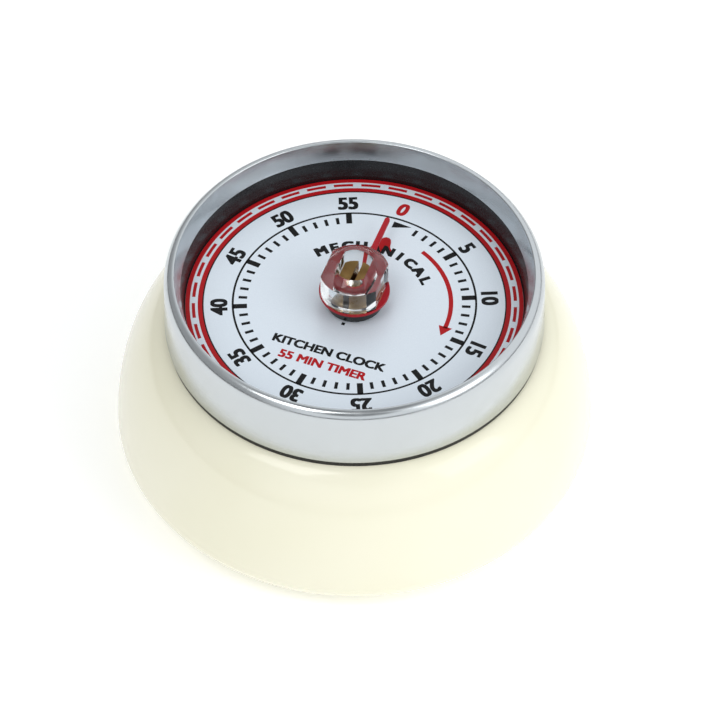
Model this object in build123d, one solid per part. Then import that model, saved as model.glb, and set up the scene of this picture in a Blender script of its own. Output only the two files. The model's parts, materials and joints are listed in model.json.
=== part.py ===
from build123d import *
import math
import os

os.makedirs("parts", exist_ok=True)

# Mechanical kitchen timer. Millimetres, +Z up, origin in the middle of the base,
# +Y towards the top of the dial. Angles are degrees, counterclockwise from +X seen from above.

# ---- case ----
case_radius = 35.0
case_widest_height = 6.0
case_roundness = 1.8          # exponent of the dome curve; 2 would be an ellipse
case_wall = 0.8
neck_radius = 27.0
neck_gap = 0.8                # neck to the lower edge of the bezel
foot_radius = 26.3            # where the lower rounding ends
foot_clearance = 0.3          # painted edge stays this far above the table
top_opening_radius = 22.6
bottom_opening_radius = 21.0

# ---- base ----
base_radius = 25.4
base_thickness = 1.2
base_gap = 0.2                # base disc to the painted rim around it
leg_circle_radius = 23.4
leg_radius = 1.4
leg_count = 3
leg_clearance = 0.15
first_leg_turn = 60.0         # from the second arbor's direction
base_screw_radius = 0.9
base_screw_head_radius = 1.6
base_screw_head_height = 0.7
base_screw_length = 5.0
screw_tip_gap = 0.5
magnet_radius = 14.0
magnet_bore_radius = 5.0
magnet_thickness = 3.0
magnet_pocket_depth = 0.4
magnet_clearance = 0.1
yoke_thickness = 0.6
magnet_rivet_radius = 1.2
magnet_rivet_head_radius = 2.2
magnet_rivet_head_height = 0.5

# ---- dial, its cup and the bezel ----
dial_height = 28.6
dial_thickness = 0.4
dial_radius = 24.4
dial_hole_gap = 0.5           # around the shaft
cup_foot_radius = 24.5
cup_mouth_radius = 25.0
cup_outer_radius = 26.3
cup_flange_radius = 27.3      # fills the gap between the bezel and the neck
cup_floor_thickness = 1.0
cup_mouth_rise = 3.5          # above the dial, like the other rises below
bezel_radius = 27.5
bezel_drop = 3.4              # lower edge below the dial
bezel_shoulder_rise = 5.2
bezel_crest_radius = 25.85
bezel_crest_rise = 6.45
bezel_bulge = 0.47            # of the rounded shoulder over a straight bevel
bezel_taper = 0.15
bezel_clearance = 0.05

# ---- knob and pointer ----
shaft_radius = 2.9
shaft_half_flat = 2.1
shaft_fit = 0.02
shaft_slot_width = 0.7
shaft_slot_depth = 4.0
shaft_drop = 2.25             # its end below the top of the knob
journal_rise = 1.0            # round part above the front plate
hub_radius = 4.1
hub_gap = 0.2
hand_rise = 2.4
hand_thickness = 0.4
hand_disc_radius = 5.1
hand_tip_radius = 14.9
hand_arm_overlap = 1.0
hand_root_width = 0.95
hand_tip_width = 0.75
knob_radius = 5.0
knob_half_flat = 4.2
knob_edge_rise = 6.8
knob_crown = 1.1              # its top rises this far from the edge to the hole
knob_edge = 0.3
knob_travel = 338.0           # off position to the 55-minute mark
zero_mark_angle = 90.0 - 6.25  # where the 0-minute line is printed
off_angle = 8.0               # the pointer rests this far before the 0-minute line

# ---- plates of the movement ----
plate_radius = 21.4
plate_thickness = 1.0
plate_spacing = 10.4
boss_height = 1.8             # front plate to the floor of the cup
pillar_radius = 1.0
pillar_tenon_radius = 0.6
pillar_head_height = 0.4
pillar_circle_radius = 20.2
pillar_turns = (64.0, 150.0, 235.0, 310.0)   # from the second arbor's direction
movement_screw_circle = 17.5
movement_screw_turns = (120.0, 200.0, 330.0)
movement_screw_radius = 0.8
movement_screw_head_radius = 1.5
movement_screw_head_height = 0.8
boss_radius = 1.8
hole_clearance = 0.1

# ---- arbors ----
main_body_radius = 2.0
main_pivot_radius = 1.2
arbor_radius = 0.5
pivot_radius = 0.4
pivot_length = 0.8
running_fit = 0.04
end_shake = 0.1

# ---- gear train: wheel of one arbor drives the pinion of the next ----
main_teeth, main_module = 60, 0.4
second_teeth, second_module = 48, 0.35
third_teeth, third_module = 48, 0.3
pinion_leaves = 8
tooth_width = 1.50            # modules, at the pitch circle
leaf_width = 1.05
tooth_addendum = 1.17
tooth_dedendum = 1.5
wheel_thickness = 0.8
light_wheel_thickness = 0.6
crossing_place = 0.52         # lightening holes, as shares of the wheel's radius
crossing_size = 0.21
crossing_count = 5
layer_gap = 0.4               # between pieces one above the other
pinion_margin = 0.5           # pinion stands past its wheel on both sides
pinion_gap = 0.2              # pinion to the wheel on its own arbor
train_angle = -30.0           # direction of the second arbor
third_arbor_radius = 13.4     # distance of the arbor from the main arbor
escape_arbor_radius = 15.5
anchor_arbor_radius = 16.0

# ---- mainspring, click work, stop and trip cam ----
spring_gap = 0.5              # mainspring to the rear plate and to the cam
spring_height = 3.6
spring_thickness = 0.3
spring_inner_radius = 2.15
spring_outer_radius = 9.4
spring_turns = 6
spring_end_angle = 215.0
spring_post_radius = 0.5
ratchet_thickness = 0.6
ratchet_radius = 3.6
ratchet_tooth_height = 0.6
ratchet_teeth = 12
ratchet_tooth_lean = 1.0      # degrees across the steep side of a tooth
click_pivot_radius = 6.6
click_rivet_radius = 0.5
click_rivet_head_radius = 0.9
click_rivet_head_height = 0.15
click_gap = 0.05
click_lead = 38.0             # degrees from its rivet to its tip round the ratchet
click_root_width = 2.0
click_tip_radius = 0.3
stop_radius = 4.2
stop_pin_radius = 0.4
stop_arm_thickness = 1.0
stop_arm_hub_radius = 3.0
stop_arm_reach = 5.0
stop_gap = 0.03
stop_pin_angle = 140.0
cam_thickness = 0.8
cam_radius = 11.2
cam_notch_clearance = 0.2     # under the finger when the hammer has dropped
cam_notch_margin = 1.0        # degrees
cam_notch_steps = 4

# ---- escapement ----
escape_teeth = 16
escape_tip_radius = 4.5
escape_tooth_height = 1.4
escape_tip_width = 0.12
escape_tooth_base = 0.68
escape_rise = 3.0             # above the rear plate, like the other rises below
pallet_pin_radius = 0.18
pallet_gap = 0.05
pallet_pin_margin = 0.3
pallet_span = 3.5             # tooth spaces between the two pins
anchor_drop = 0.9             # below the escape wheel
anchor_thickness = 0.6
anchor_root_width = 1.4
anchor_tip_width = 0.8
anchor_hub_radius = 1.2
balance_rise = 0.9
balance_thickness = 1.0
balance_half_length = 5.0
balance_width = 1.4
balance_weight_radius = 1.3

# ---- alarm ----
star_teeth = 12
star_tip_radius = 2.5
star_tooth_height = 0.8
star_tip_width = 0.1
star_tooth_base = 0.6
star_rise = 2.6
hammer_arbor_circle = 19.2
hammer_arbor_turn = 42.0
hammer_drop = 4.0             # degrees the hammer falls when the cam lets it go
release_thickness = 0.6
release_root_width = 2.0
release_width = 1.0
release_elbow_rise = 1.75     # its bend stands this far off the cam
release_gap = 0.05
finger_width = 0.9
lifting_pin_radius = 0.25
lifting_pin_margin = 0.3
bridge_gap = 1.1              # above the release lever
bridge_thickness = 0.6
bridge_width = 2.2
bridge_post_circle = 20.2
bridge_post_turn = 22.0
hammer_arm_drop = 1.8         # below the rear plate, like the other drops below
hammer_arm_thickness = 0.8
hammer_arm_length = 13.0
hammer_arm_turn = 63.0
hammer_arm_root_width = 2.4
hammer_arm_width = 1.6
hammer_head_radius = 1.4
hammer_head_height = 2.8
bell_gap = 0.3                # bell screw to the magnet's rivet
bell_mouth_drop = 2.0
bell_wall = 0.8
bell_inner_radius = 20.0
bell_rounding = 2.4
bell_post_radius = 2.6
bell_screw_radius = 1.2
bell_screw_head_radius = 2.2
bell_screw_head_height = 0.8
bell_screw_length = 4.0

# ---- worked out from the dimensions above ----
cup_floor_top = dial_height - dial_thickness
cup_floor_low = cup_floor_top - cup_floor_thickness
cup_mouth_height = dial_height + cup_mouth_rise
dial_hole_radius = shaft_radius + dial_hole_gap
bezel_low = dial_height - bezel_drop
neck_height = bezel_low - neck_gap
hand_low = dial_height + hand_rise
hand_top = hand_low + hand_thickness
knob_edge_height = dial_height + knob_edge_rise
knob_top_height = knob_edge_height + knob_crown
front_plate_top = cup_floor_low - boss_height
front_plate_low = front_plate_top - plate_thickness
rear_plate_top = front_plate_low - plate_spacing
rear_plate_low = rear_plate_top - plate_thickness
spring_low = rear_plate_top + spring_gap
cam_low = spring_low + spring_height + spring_gap
main_wheel_low = cam_low + cam_thickness
ratchet_low = main_wheel_low + wheel_thickness + click_gap
click_top = ratchet_low + ratchet_thickness
second_wheel_low = click_top + click_rivet_head_height + layer_gap
second_wheel_top = second_wheel_low + light_wheel_thickness
third_wheel_low = second_wheel_top + pinion_margin + pinion_gap
stop_arm_low = second_wheel_top + layer_gap
escape_wheel_low = rear_plate_top + escape_rise
escape_wheel_top = escape_wheel_low + light_wheel_thickness
anchor_low = escape_wheel_low - anchor_drop
balance_low = rear_plate_top + balance_rise
star_low = rear_plate_top + star_rise
release_top = cam_low + release_thickness
bridge_low = release_top + bridge_gap
hammer_arm_low = rear_plate_low - hammer_arm_drop
magnet_low = base_thickness - magnet_pocket_depth
magnet_top = magnet_low + magnet_thickness
yoke_top = magnet_top + yoke_thickness
magnet_rivet_top = yoke_top + magnet_rivet_head_height
bell_low = magnet_rivet_top + bell_gap + bell_screw_head_height
bell_floor_top = bell_low + bell_wall
bell_mouth = rear_plate_low - bell_mouth_drop
base_flange_low = base_thickness
base_flange_top = base_flange_low + case_wall
second_arbor_radius = (main_teeth + pinion_leaves) * main_module / 2
third_distance = (second_teeth + pinion_leaves) * second_module / 2
escape_distance = (third_teeth + pinion_leaves) * third_module / 2
pallet_circle = escape_tip_radius + pallet_gap + pallet_pin_radius
pallet_half_span = pallet_span * 180.0 / escape_teeth
anchor_distance = pallet_circle / math.cos(math.radians(pallet_half_span))
rest_angle = zero_mark_angle + off_angle
spring_post_circle = spring_outer_radius + spring_thickness + spring_post_radius
escape_root_radius = escape_tip_radius - escape_tooth_height
release_reach = math.sqrt(hammer_arbor_circle ** 2 - (cam_radius + release_gap) ** 2)
cam_notch_depth = release_reach * math.sin(math.radians(hammer_drop)) + cam_notch_clearance


def polar(radius, angle):
    return Vector(radius * math.cos(math.radians(angle)), radius * math.sin(math.radians(angle)))


def angle_of(vector):
    return math.degrees(math.atan2(vector.Y, vector.X))


def angle_between(side_a, side_b, opposite):
    """Angle in degrees between two sides of a triangle, given the third side."""
    return math.degrees(math.acos((side_a ** 2 + side_b ** 2 - opposite ** 2) / (2 * side_a * side_b)))


second_angle = train_angle
third_angle = second_angle + angle_between(second_arbor_radius, third_arbor_radius, third_distance)
escape_angle = third_angle + angle_between(third_arbor_radius, escape_arbor_radius, escape_distance)
anchor_angle = escape_angle + angle_between(escape_arbor_radius, anchor_arbor_radius, anchor_distance)
second_axis = polar(second_arbor_radius, second_angle)
third_axis = polar(third_arbor_radius, third_angle)
escape_axis = polar(escape_arbor_radius, escape_angle)
anchor_axis = polar(anchor_arbor_radius, anchor_angle)
hammer_axis = polar(hammer_arbor_circle, train_angle + hammer_arbor_turn)
bridge_post = polar(bridge_post_circle, train_angle + bridge_post_turn)
pillar_places = [polar(pillar_circle_radius, train_angle + turn) for turn in pillar_turns]
screw_places = [polar(movement_screw_circle, train_angle + turn) for turn in movement_screw_turns]
leg_places = [polar(leg_circle_radius, train_angle + first_leg_turn + 360 / leg_count * i)
              for i in range(leg_count)]
spring_post = polar(spring_post_circle, spring_end_angle)
stop_pin = polar(stop_radius, stop_pin_angle)


# ---- building blocks ----
def rod(radius, low, high, place=Vector(0, 0)):
    return Pos(place.X, place.Y, (low + high) / 2) * Cylinder(radius, high - low)


def ring(outer, inner, low, high):
    return rod(outer, low, high) - rod(inner, low, high)


def slab(outline, low, thickness):
    return Pos(0, 0, low) * extrude(outline, thickness)


def turned(points):
    """Solid of revolution about Z from a closed outline of (radius, height) points."""
    outline = Polyline([(radius, 0, height) for radius, height in points], close=True)
    return revolve(make_face(outline), Axis.Z)


def bar(start, end, start_width, end_width):
    """Flat bar with round ends from one place to another."""
    return make_hull((Pos(start) * Circle(start_width / 2) + Pos(end) * Circle(end_width / 2)).edges())


def drill(solid, places, radius, low=0, high=knob_top_height):
    """Round holes at the places, right through unless their heights are given."""
    for place in places:
        solid = solid - rod(radius, low, high, place)
    return solid


def double_flat(radius, half_flat):
    """Round section with two flats that run along the pointer."""
    flats = Rectangle(3 * radius, 2 * half_flat)
    return Rot(0, 0, rest_angle) * (Circle(radius) & flats)


def one_solid(shape):
    return shape.solids()[0]


# ---- case ----
def dome_point(turn):
    """Point of the dome's curve: 0 at the neck, 90 at the widest place."""
    power = 2 / case_roundness
    outward = math.sin(math.radians(turn)) ** power
    upward = max(math.cos(math.radians(turn)), 0.0) ** power
    radius = neck_radius + (case_radius - neck_radius) * outward
    height = case_widest_height + (neck_height - case_widest_height) * upward
    return Vector(radius, 0, height)


def dome_curve():
    points = [dome_point(turn) for turn in (90, 72, 54, 36, 18, 0)]
    return Spline(points, tangents=[(0, 0, 1), (-1, 0, 0)])


def lining(curve, steps):
    """Points one wall thickness inside a curve of the case outline."""
    inside = []
    for step in range(steps + 1):
        tangent = curve % (step / steps)
        normal = Vector(-tangent.Z, 0, tangent.X)
        inside.append(curve @ (step / steps) + normal * case_wall)
    return inside


def foot_curve(width, drop):
    """Quarter ellipse from the foot circle up to the widest place."""
    return Plane.XZ * EllipticalCenterArc((foot_radius, case_widest_height), width, drop, -90)


def make_case_shell():
    """Drawn steel shell, open above for the movement and below for the base."""
    dome = dome_curve()
    top_low = neck_height - case_wall
    rim_radius = base_radius + base_gap
    foot_width = case_radius - foot_radius
    inside = lining(dome, 8)[:-1] + [Vector(neck_radius, 0, top_low)]
    edges = [
        foot_curve(foot_width, case_widest_height - foot_clearance),
        dome,
        Line((neck_radius, 0, neck_height), (top_opening_radius, 0, neck_height)),
        Line((top_opening_radius, 0, neck_height), (top_opening_radius, 0, top_low)),
        Line((top_opening_radius, 0, top_low), (neck_radius, 0, top_low)),
        Spline(inside, tangents=[(0, 0, 1), (-1, 0, 0)]),
        foot_curve(foot_width - case_wall, case_widest_height - base_flange_top),
        Line((foot_radius, 0, base_flange_top), (bottom_opening_radius, 0, base_flange_top)),
        Line((bottom_opening_radius, 0, base_flange_top), (bottom_opening_radius, 0, base_flange_low)),
        Line((bottom_opening_radius, 0, base_flange_low), (rim_radius, 0, base_flange_low)),
        Line((rim_radius, 0, base_flange_low), (rim_radius, 0, foot_clearance)),
        Line((rim_radius, 0, foot_clearance), (foot_radius, 0, foot_clearance)),
    ]
    shell = revolve(make_face(edges), Axis.Z)
    shell = drill(shell, leg_places, leg_radius + leg_clearance, base_flange_top, neck_height)
    return drill(shell, leg_places, base_screw_radius + hole_clearance)


def make_bezel_ring():
    """Turned ring, pressed over the cup and lipped over its mouth."""
    skirt_inner = cup_outer_radius + bezel_clearance
    lip_low = cup_mouth_height
    shoulder = Vector(bezel_radius - bezel_taper, 0, dial_height + bezel_shoulder_rise)
    crest = Vector(bezel_crest_radius, 0, dial_height + bezel_crest_rise)
    along = (crest - shoulder).normalized()
    corner = (shoulder + crest) / 2 + Vector(along.Z, 0, -along.X) * bezel_bulge
    edges = [
        Line((skirt_inner, 0, bezel_low), (bezel_radius, 0, bezel_low)),
        Line((bezel_radius, 0, bezel_low), shoulder),
        ThreePointArc(shoulder, corner, crest),
        Line(crest, (cup_mouth_radius, 0, lip_low)),
        Line((cup_mouth_radius, 0, lip_low), (skirt_inner, 0, lip_low)),
        Line((skirt_inner, 0, lip_low), (skirt_inner, 0, bezel_low)),
    ]
    return revolve(make_face(edges), Axis.Z)


def make_dial_cup():
    """Moulded cup under the dial, with legs down to the base and bosses for the movement."""
    cup = turned([
        (dial_hole_radius, cup_floor_low), (cup_foot_radius, cup_floor_low),
        (cup_foot_radius, neck_height), (cup_flange_radius, neck_height),
        (cup_flange_radius, bezel_low), (cup_outer_radius, bezel_low),
        (cup_outer_radius, cup_mouth_height), (cup_mouth_radius, cup_mouth_height),
        (cup_foot_radius, dial_height), (cup_foot_radius, cup_floor_top),
        (dial_hole_radius, cup_floor_top)])
    for place in leg_places:
        cup = cup + rod(leg_radius, base_flange_top, cup_floor_top, place)
    for place in screw_places:
        cup = cup + rod(boss_radius, front_plate_top, cup_floor_top, place)
    cup = drill(cup, leg_places, base_screw_radius, 0, base_screw_length + screw_tip_gap)
    return drill(cup, screw_places, movement_screw_radius, 0, cup_floor_low)


def make_dial_plate():
    return ring(dial_radius, dial_hole_radius, cup_floor_top, dial_height)


# ---- base ----
def make_base_cover():
    """Moulded disc with a pocket for the magnet and a boss through its middle."""
    cover = rod(base_radius, 0, base_thickness)
    cover = cover - ring(magnet_radius + magnet_clearance, magnet_bore_radius - magnet_clearance,
                         magnet_low, base_thickness)
    cover = cover + rod(magnet_bore_radius - magnet_clearance, magnet_low, magnet_top)
    cover = cover - rod(magnet_rivet_radius, 0, magnet_top)
    cover = cover - rod(magnet_rivet_head_radius, 0, magnet_rivet_head_height + foot_clearance)
    cover = drill(cover, leg_places, base_screw_radius + hole_clearance)
    return drill(cover, leg_places, base_screw_head_radius + hole_clearance,
                 0, base_screw_head_height + hole_clearance)


def make_base_screws():
    head_low = hole_clearance
    head_top = base_screw_head_height + hole_clearance
    screws = [rod(base_screw_radius, head_top, base_screw_length, place)
              + rod(base_screw_head_radius, head_low, head_top, place) for place in leg_places]
    return Compound(children=[one_solid(screw) for screw in screws])


def make_magnet_ring():
    return ring(magnet_radius, magnet_bore_radius, magnet_low, magnet_top)


def make_magnet_yoke():
    return ring(magnet_radius, magnet_rivet_radius, magnet_top, yoke_top)


def make_magnet_rivet():
    shank = rod(magnet_rivet_radius, foot_clearance, magnet_rivet_top)
    lower_head = rod(magnet_rivet_head_radius, foot_clearance, foot_clearance + magnet_rivet_head_height)
    return shank + lower_head + rod(magnet_rivet_head_radius, yoke_top, magnet_rivet_top)


# ---- knob and pointer ----
def shaft_bore():
    return double_flat(shaft_radius + shaft_fit, shaft_half_flat + shaft_fit)


def make_clear_knob():
    """Block with two flats; its top slopes up to the hole for the shaft."""
    block = turned([
        (0, hand_top), (knob_radius, hand_top), (knob_radius, knob_edge_height - knob_edge),
        (knob_radius - knob_edge, knob_edge_height), (shaft_radius, knob_top_height), (0, knob_top_height)])
    sides = Rot(0, 0, rest_angle) * Rectangle(3 * knob_radius, 2 * knob_half_flat)
    block = block & slab(sides, hand_top, knob_top_height - hand_top)
    return block - slab(shaft_bore(), hand_top, knob_top_height - hand_top)


def make_pointer_hand():
    """Stamped hand: a disc under the knob and a long tapering arm."""
    root = polar(hand_disc_radius - hand_arm_overlap, rest_angle)
    tip = polar(hand_tip_radius - hand_tip_width / 2, rest_angle)
    arm = bar(root, tip, hand_root_width, hand_tip_width)
    return slab(Circle(hand_disc_radius) + arm - shaft_bore(), hand_low, hand_thickness)


def make_pointer_hub():
    low = dial_height + hub_gap
    return slab(Circle(hub_radius) - shaft_bore(), low, hand_low - low)


def make_main_arbor():
    """Turned arbor: rear pivot, body, front journal and the flatted, slotted end for the knob."""
    body_top = front_plate_low - end_shake
    journal_top = front_plate_top + journal_rise
    shaft_top = knob_top_height - shaft_drop
    arbor = rod(main_pivot_radius, rear_plate_top - pivot_length, rear_plate_top + end_shake)
    arbor = arbor + rod(main_body_radius, rear_plate_top + end_shake, body_top)
    arbor = arbor + rod(shaft_radius, body_top, journal_top)
    arbor = arbor + slab(double_flat(shaft_radius, shaft_half_flat), journal_top, shaft_top - journal_top)
    slot = Pos(0, 0, shaft_top) * Rot(0, 0, rest_angle) * Box(
        3 * shaft_radius, shaft_slot_width, 2 * shaft_slot_depth)
    return arbor - slot


# ---- gears ----
def cycloid_point(pitch_radius, roll_radius, radius):
    """Angle gained along an epicycloid between the pitch circle and a larger radius."""
    centre = pitch_radius + roll_radius
    cosine = (centre ** 2 + roll_radius ** 2 - radius ** 2) / (2 * roll_radius * centre)
    rolled = math.acos(cosine) * roll_radius / pitch_radius
    turn = centre / roll_radius * rolled
    x = centre * math.cos(rolled) - roll_radius * math.cos(turn)
    y = centre * math.sin(rolled) - roll_radius * math.sin(turn)
    return math.degrees(math.atan2(y, x))


def wheel_outline(teeth, module, pinion_radius):
    """Clock wheel: radial flanks below the pitch circle, epicycloid faces above it."""
    pitch_radius = teeth * module / 2
    root_radius = pitch_radius - tooth_dedendum * module
    tip_radius = pitch_radius + tooth_addendum * module
    middle_radius = (pitch_radius + tip_radius) / 2
    half = math.degrees(tooth_width * module / 2 / pitch_radius)
    middle = half - cycloid_point(pitch_radius, pinion_radius / 2, middle_radius)
    tip = half - cycloid_point(pitch_radius, pinion_radius / 2, tip_radius)
    step = 360 / teeth
    edges = []
    for tooth in range(teeth):
        at = tooth * step
        edges += [
            Line(polar(root_radius, at - half), polar(pitch_radius, at - half)),
            ThreePointArc(polar(pitch_radius, at - half), polar(middle_radius, at - middle),
                          polar(tip_radius, at - tip)),
            Line(polar(tip_radius, at - tip), polar(tip_radius, at + tip)),
            ThreePointArc(polar(tip_radius, at + tip), polar(middle_radius, at + middle),
                          polar(pitch_radius, at + half)),
            Line(polar(pitch_radius, at + half), polar(root_radius, at + half)),
            Line(polar(root_radius, at + half), polar(root_radius, at + step - half)),
        ]
    return make_face(edges)


def pinion_outline(module):
    """Pinion with radial flanks and rounded leaf ends."""
    pitch_radius = pinion_leaves * module / 2
    root_radius = pitch_radius - tooth_dedendum * module
    tip_radius = pitch_radius + leaf_width * module / 2
    half = math.degrees(leaf_width * module / 2 / pitch_radius)
    step = 360 / pinion_leaves
    edges = []
    for leaf in range(pinion_leaves):
        at = leaf * step
        edges += [
            Line(polar(root_radius, at - half), polar(pitch_radius, at - half)),
            ThreePointArc(polar(pitch_radius, at - half), polar(tip_radius, at),
                          polar(pitch_radius, at + half)),
            Line(polar(pitch_radius, at + half), polar(root_radius, at + half)),
            Line(polar(root_radius, at + half), polar(root_radius, at + step - half)),
        ]
    return make_face(edges)


def pointed_outline(teeth, tip_radius, tooth_height, tip_width, base_width):
    """Wheel with straight-sided narrow teeth, as used for the escape and star wheels."""
    root_radius = tip_radius - tooth_height
    tip = math.degrees(tip_width / 2 / tip_radius)
    base = math.degrees(base_width / 2 / root_radius)
    points = []
    for tooth in range(teeth):
        at = tooth * 360 / teeth
        points += [polar(root_radius, at - base), polar(tip_radius, at - tip),
                   polar(tip_radius, at + tip), polar(root_radius, at + base)]
    return make_face(Polyline(points, close=True))


def crossings(wheel_radius):
    """Round lightening holes of a wheel."""
    places = [polar(crossing_place * wheel_radius, 360 / crossing_count * i) for i in range(crossing_count)]
    return Sketch() + [Pos(place) * Circle(crossing_size * wheel_radius) for place in places]


def make_main_wheel():
    outline = wheel_outline(main_teeth, main_module, pinion_leaves * main_module / 2)
    outline = outline - Circle(main_body_radius)
    click_place = polar(click_pivot_radius, rest_angle)
    outline = Rot(0, 0, second_angle) * outline - Pos(click_place) * Circle(click_rivet_radius)
    return slab(outline, main_wheel_low, wheel_thickness)


def train_wheel(teeth, module, axis, next_axis, low):
    """Wheel with one tooth on the line to the next arbor."""
    outline = wheel_outline(teeth, module, pinion_leaves * module / 2) - Circle(arbor_radius)
    outline = outline - crossings(teeth * module / 2)
    turn = angle_of(next_axis - axis)
    return Pos(axis) * Rot(0, 0, turn) * slab(outline, low, light_wheel_thickness)


def train_pinion(module, axis, previous_axis, mesh_low, mesh_high):
    """Arbor with its pinion; a space between leaves faces the wheel that drives it."""
    turn = angle_of(previous_axis - axis) + 180 / pinion_leaves
    leaves = Pos(axis) * Rot(0, 0, turn) * slab(
        pinion_outline(module), mesh_low - pinion_margin, mesh_high - mesh_low + 2 * pinion_margin)
    return leaves + pivoted_arbor(axis)


def pivoted_arbor(axis):
    body = rod(arbor_radius, rear_plate_top + end_shake, front_plate_low - end_shake, axis)
    return body + rod(pivot_radius, rear_plate_top - pivot_length, front_plate_low + pivot_length, axis)


def make_second_pinion():
    top = main_wheel_low + wheel_thickness
    return train_pinion(main_module, second_axis, Vector(0, 0), main_wheel_low, top)


def make_second_wheel():
    return train_wheel(second_teeth, second_module, second_axis, third_axis, second_wheel_low)


def make_third_pinion():
    return train_pinion(second_module, third_axis, second_axis, second_wheel_low, second_wheel_top)


def make_third_wheel():
    return train_wheel(third_teeth, third_module, third_axis, escape_axis, third_wheel_low)


def make_escape_pinion():
    top = third_wheel_low + light_wheel_thickness
    return train_pinion(third_module, escape_axis, third_axis, third_wheel_low, top)


# ---- drive ----
def make_mainspring():
    """Coiled strip; its outer end lies against the post in the rear plate."""
    pitch = (spring_outer_radius - spring_inner_radius) / spring_turns
    steps = 10 * spring_turns
    inner = []
    outer = []
    for step in range(steps + 1):
        angle = spring_end_angle - 360 * (spring_turns - spring_turns * step / steps)
        radius = spring_inner_radius + pitch * spring_turns * step / steps
        inner.append(polar(radius, angle))
        outer.append(polar(radius + spring_thickness, angle))
    edges = [Spline(inner), Line(inner[-1], outer[-1]), Spline(outer), Line(outer[0], inner[0])]
    return slab(make_face(edges), spring_low, spring_height)


def make_spring_post():
    return rod(spring_post_radius, rear_plate_low, spring_low + spring_height, spring_post)


def make_ratchet_wheel():
    """Saw-tooth wheel fixed to the arbor; the click on the main wheel drops into it."""
    points = []
    for tooth in range(ratchet_teeth):
        at = rest_angle + tooth * 360 / ratchet_teeth
        points += [polar(ratchet_radius, at),
                   polar(ratchet_radius - ratchet_tooth_height, at + ratchet_tooth_lean)]
    outline = make_face(Polyline(points, close=True)) - Circle(main_body_radius)
    return slab(outline, ratchet_low, ratchet_thickness)


def make_click():
    pivot = polar(click_pivot_radius, rest_angle)
    tip = polar(ratchet_radius + click_gap + click_tip_radius, rest_angle + click_lead)
    outline = bar(pivot, tip, click_root_width, 2 * click_tip_radius)
    outline = outline - Pos(pivot) * Circle(click_rivet_radius)
    return slab(outline, ratchet_low, ratchet_thickness)


def make_click_rivet():
    place = polar(click_pivot_radius, rest_angle)
    shank = rod(click_rivet_radius, main_wheel_low, click_top, place)
    return shank + rod(click_rivet_head_radius, click_top, click_top + click_rivet_head_height, place)


def make_stop_arm():
    """Arm on the main arbor; the stop pin limits it at both ends of the travel."""
    half_blocked = (360 - knob_travel) / 2
    width = 2 * (stop_radius * math.sin(math.radians(half_blocked)) - stop_pin_radius - stop_gap)
    arm = Pos(stop_arm_reach / 2, 0) * Rectangle(stop_arm_reach, width)
    arm = Rot(0, 0, stop_pin_angle - half_blocked) * arm
    outline = Circle(stop_arm_hub_radius) + arm - Circle(main_body_radius)
    return slab(outline, stop_arm_low, stop_arm_thickness)


def make_stop_pin():
    return rod(stop_pin_radius, stop_arm_low, front_plate_top, stop_pin)


def release_tip():
    """Where the release finger rides on the cam: a drop of the hammer moves it straight inwards."""
    lean = math.degrees(math.asin((cam_radius + release_gap) / hammer_arbor_circle))
    toward_centre = angle_of(Vector(0, 0) - hammer_axis)
    return hammer_axis + polar(release_reach, toward_centre - lean)


def make_trip_cam():
    """Cam under the main wheel; its notch lets the hammer fall from the 0-minute line to the stop."""
    tip_angle = angle_of(release_tip())
    finger_half = math.degrees(finger_width / cam_radius)
    low_end = tip_angle - (360 - knob_travel) - finger_half - cam_notch_margin
    high_end = tip_angle + off_angle + finger_half
    outer = cam_radius + cam_notch_depth
    step = (high_end - low_end) / cam_notch_steps
    wedge = [Vector(0, 0)] + [polar(outer, low_end + step * i) for i in range(cam_notch_steps + 1)]
    notch = make_face(Polyline(wedge, close=True)) - Circle(cam_radius - cam_notch_depth)
    outline = Circle(cam_radius) - notch - Circle(main_body_radius)
    return slab(outline, cam_low, cam_thickness)


# ---- escapement ----
def make_escape_wheel():
    outline = pointed_outline(escape_teeth, escape_tip_radius, escape_tooth_height,
                              escape_tip_width, escape_tooth_base)
    outline = outline - Circle(arbor_radius) - crossings(escape_root_radius)
    turn = angle_of(anchor_axis - escape_axis)
    return Pos(escape_axis) * Rot(0, 0, turn) * slab(outline, escape_wheel_low, light_wheel_thickness)


def pallet_places():
    toward_anchor = angle_of(anchor_axis - escape_axis)
    return [escape_axis + polar(pallet_circle, toward_anchor + side * pallet_half_span) for side in (1, -1)]


def make_pallet_anchor():
    outline = Pos(anchor_axis) * Circle(anchor_hub_radius)
    for place in pallet_places():
        outline = outline + bar(anchor_axis, place, anchor_root_width, anchor_tip_width)
    outline = outline - Pos(anchor_axis) * Circle(arbor_radius)
    for place in pallet_places():
        outline = outline - Pos(place) * Circle(pallet_pin_radius)
    return slab(outline, anchor_low, anchor_thickness)


def make_pallet_pins():
    top = escape_wheel_top + pallet_pin_margin
    return Compound(children=[rod(pallet_pin_radius, anchor_low, top, place) for place in pallet_places()])


def make_anchor_arbor():
    return pivoted_arbor(anchor_axis)


def make_balance_bar():
    """Bar with a weight at each end; its inertia sets the beat."""
    along = anchor_angle + 90
    ends = [anchor_axis + polar(side * balance_half_length, along) for side in (1, -1)]
    outline = bar(ends[0], ends[1], balance_width, balance_width) - Pos(anchor_axis) * Circle(arbor_radius)
    solid = slab(outline, balance_low, balance_thickness)
    for end in ends:
        inward = end + (anchor_axis - end).normalized() * balance_weight_radius
        solid = solid + rod(balance_weight_radius, balance_low, balance_low + balance_thickness, inward)
    return solid


# ---- alarm ----
def make_star_wheel():
    outline = pointed_outline(star_teeth, star_tip_radius, star_tooth_height, star_tip_width, star_tooth_base)
    turn = angle_of(lifting_pin_place() - third_axis) + 180 / star_teeth
    outline = outline - Circle(arbor_radius)
    return Pos(third_axis) * Rot(0, 0, turn) * slab(outline, star_low, wheel_thickness)


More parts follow.
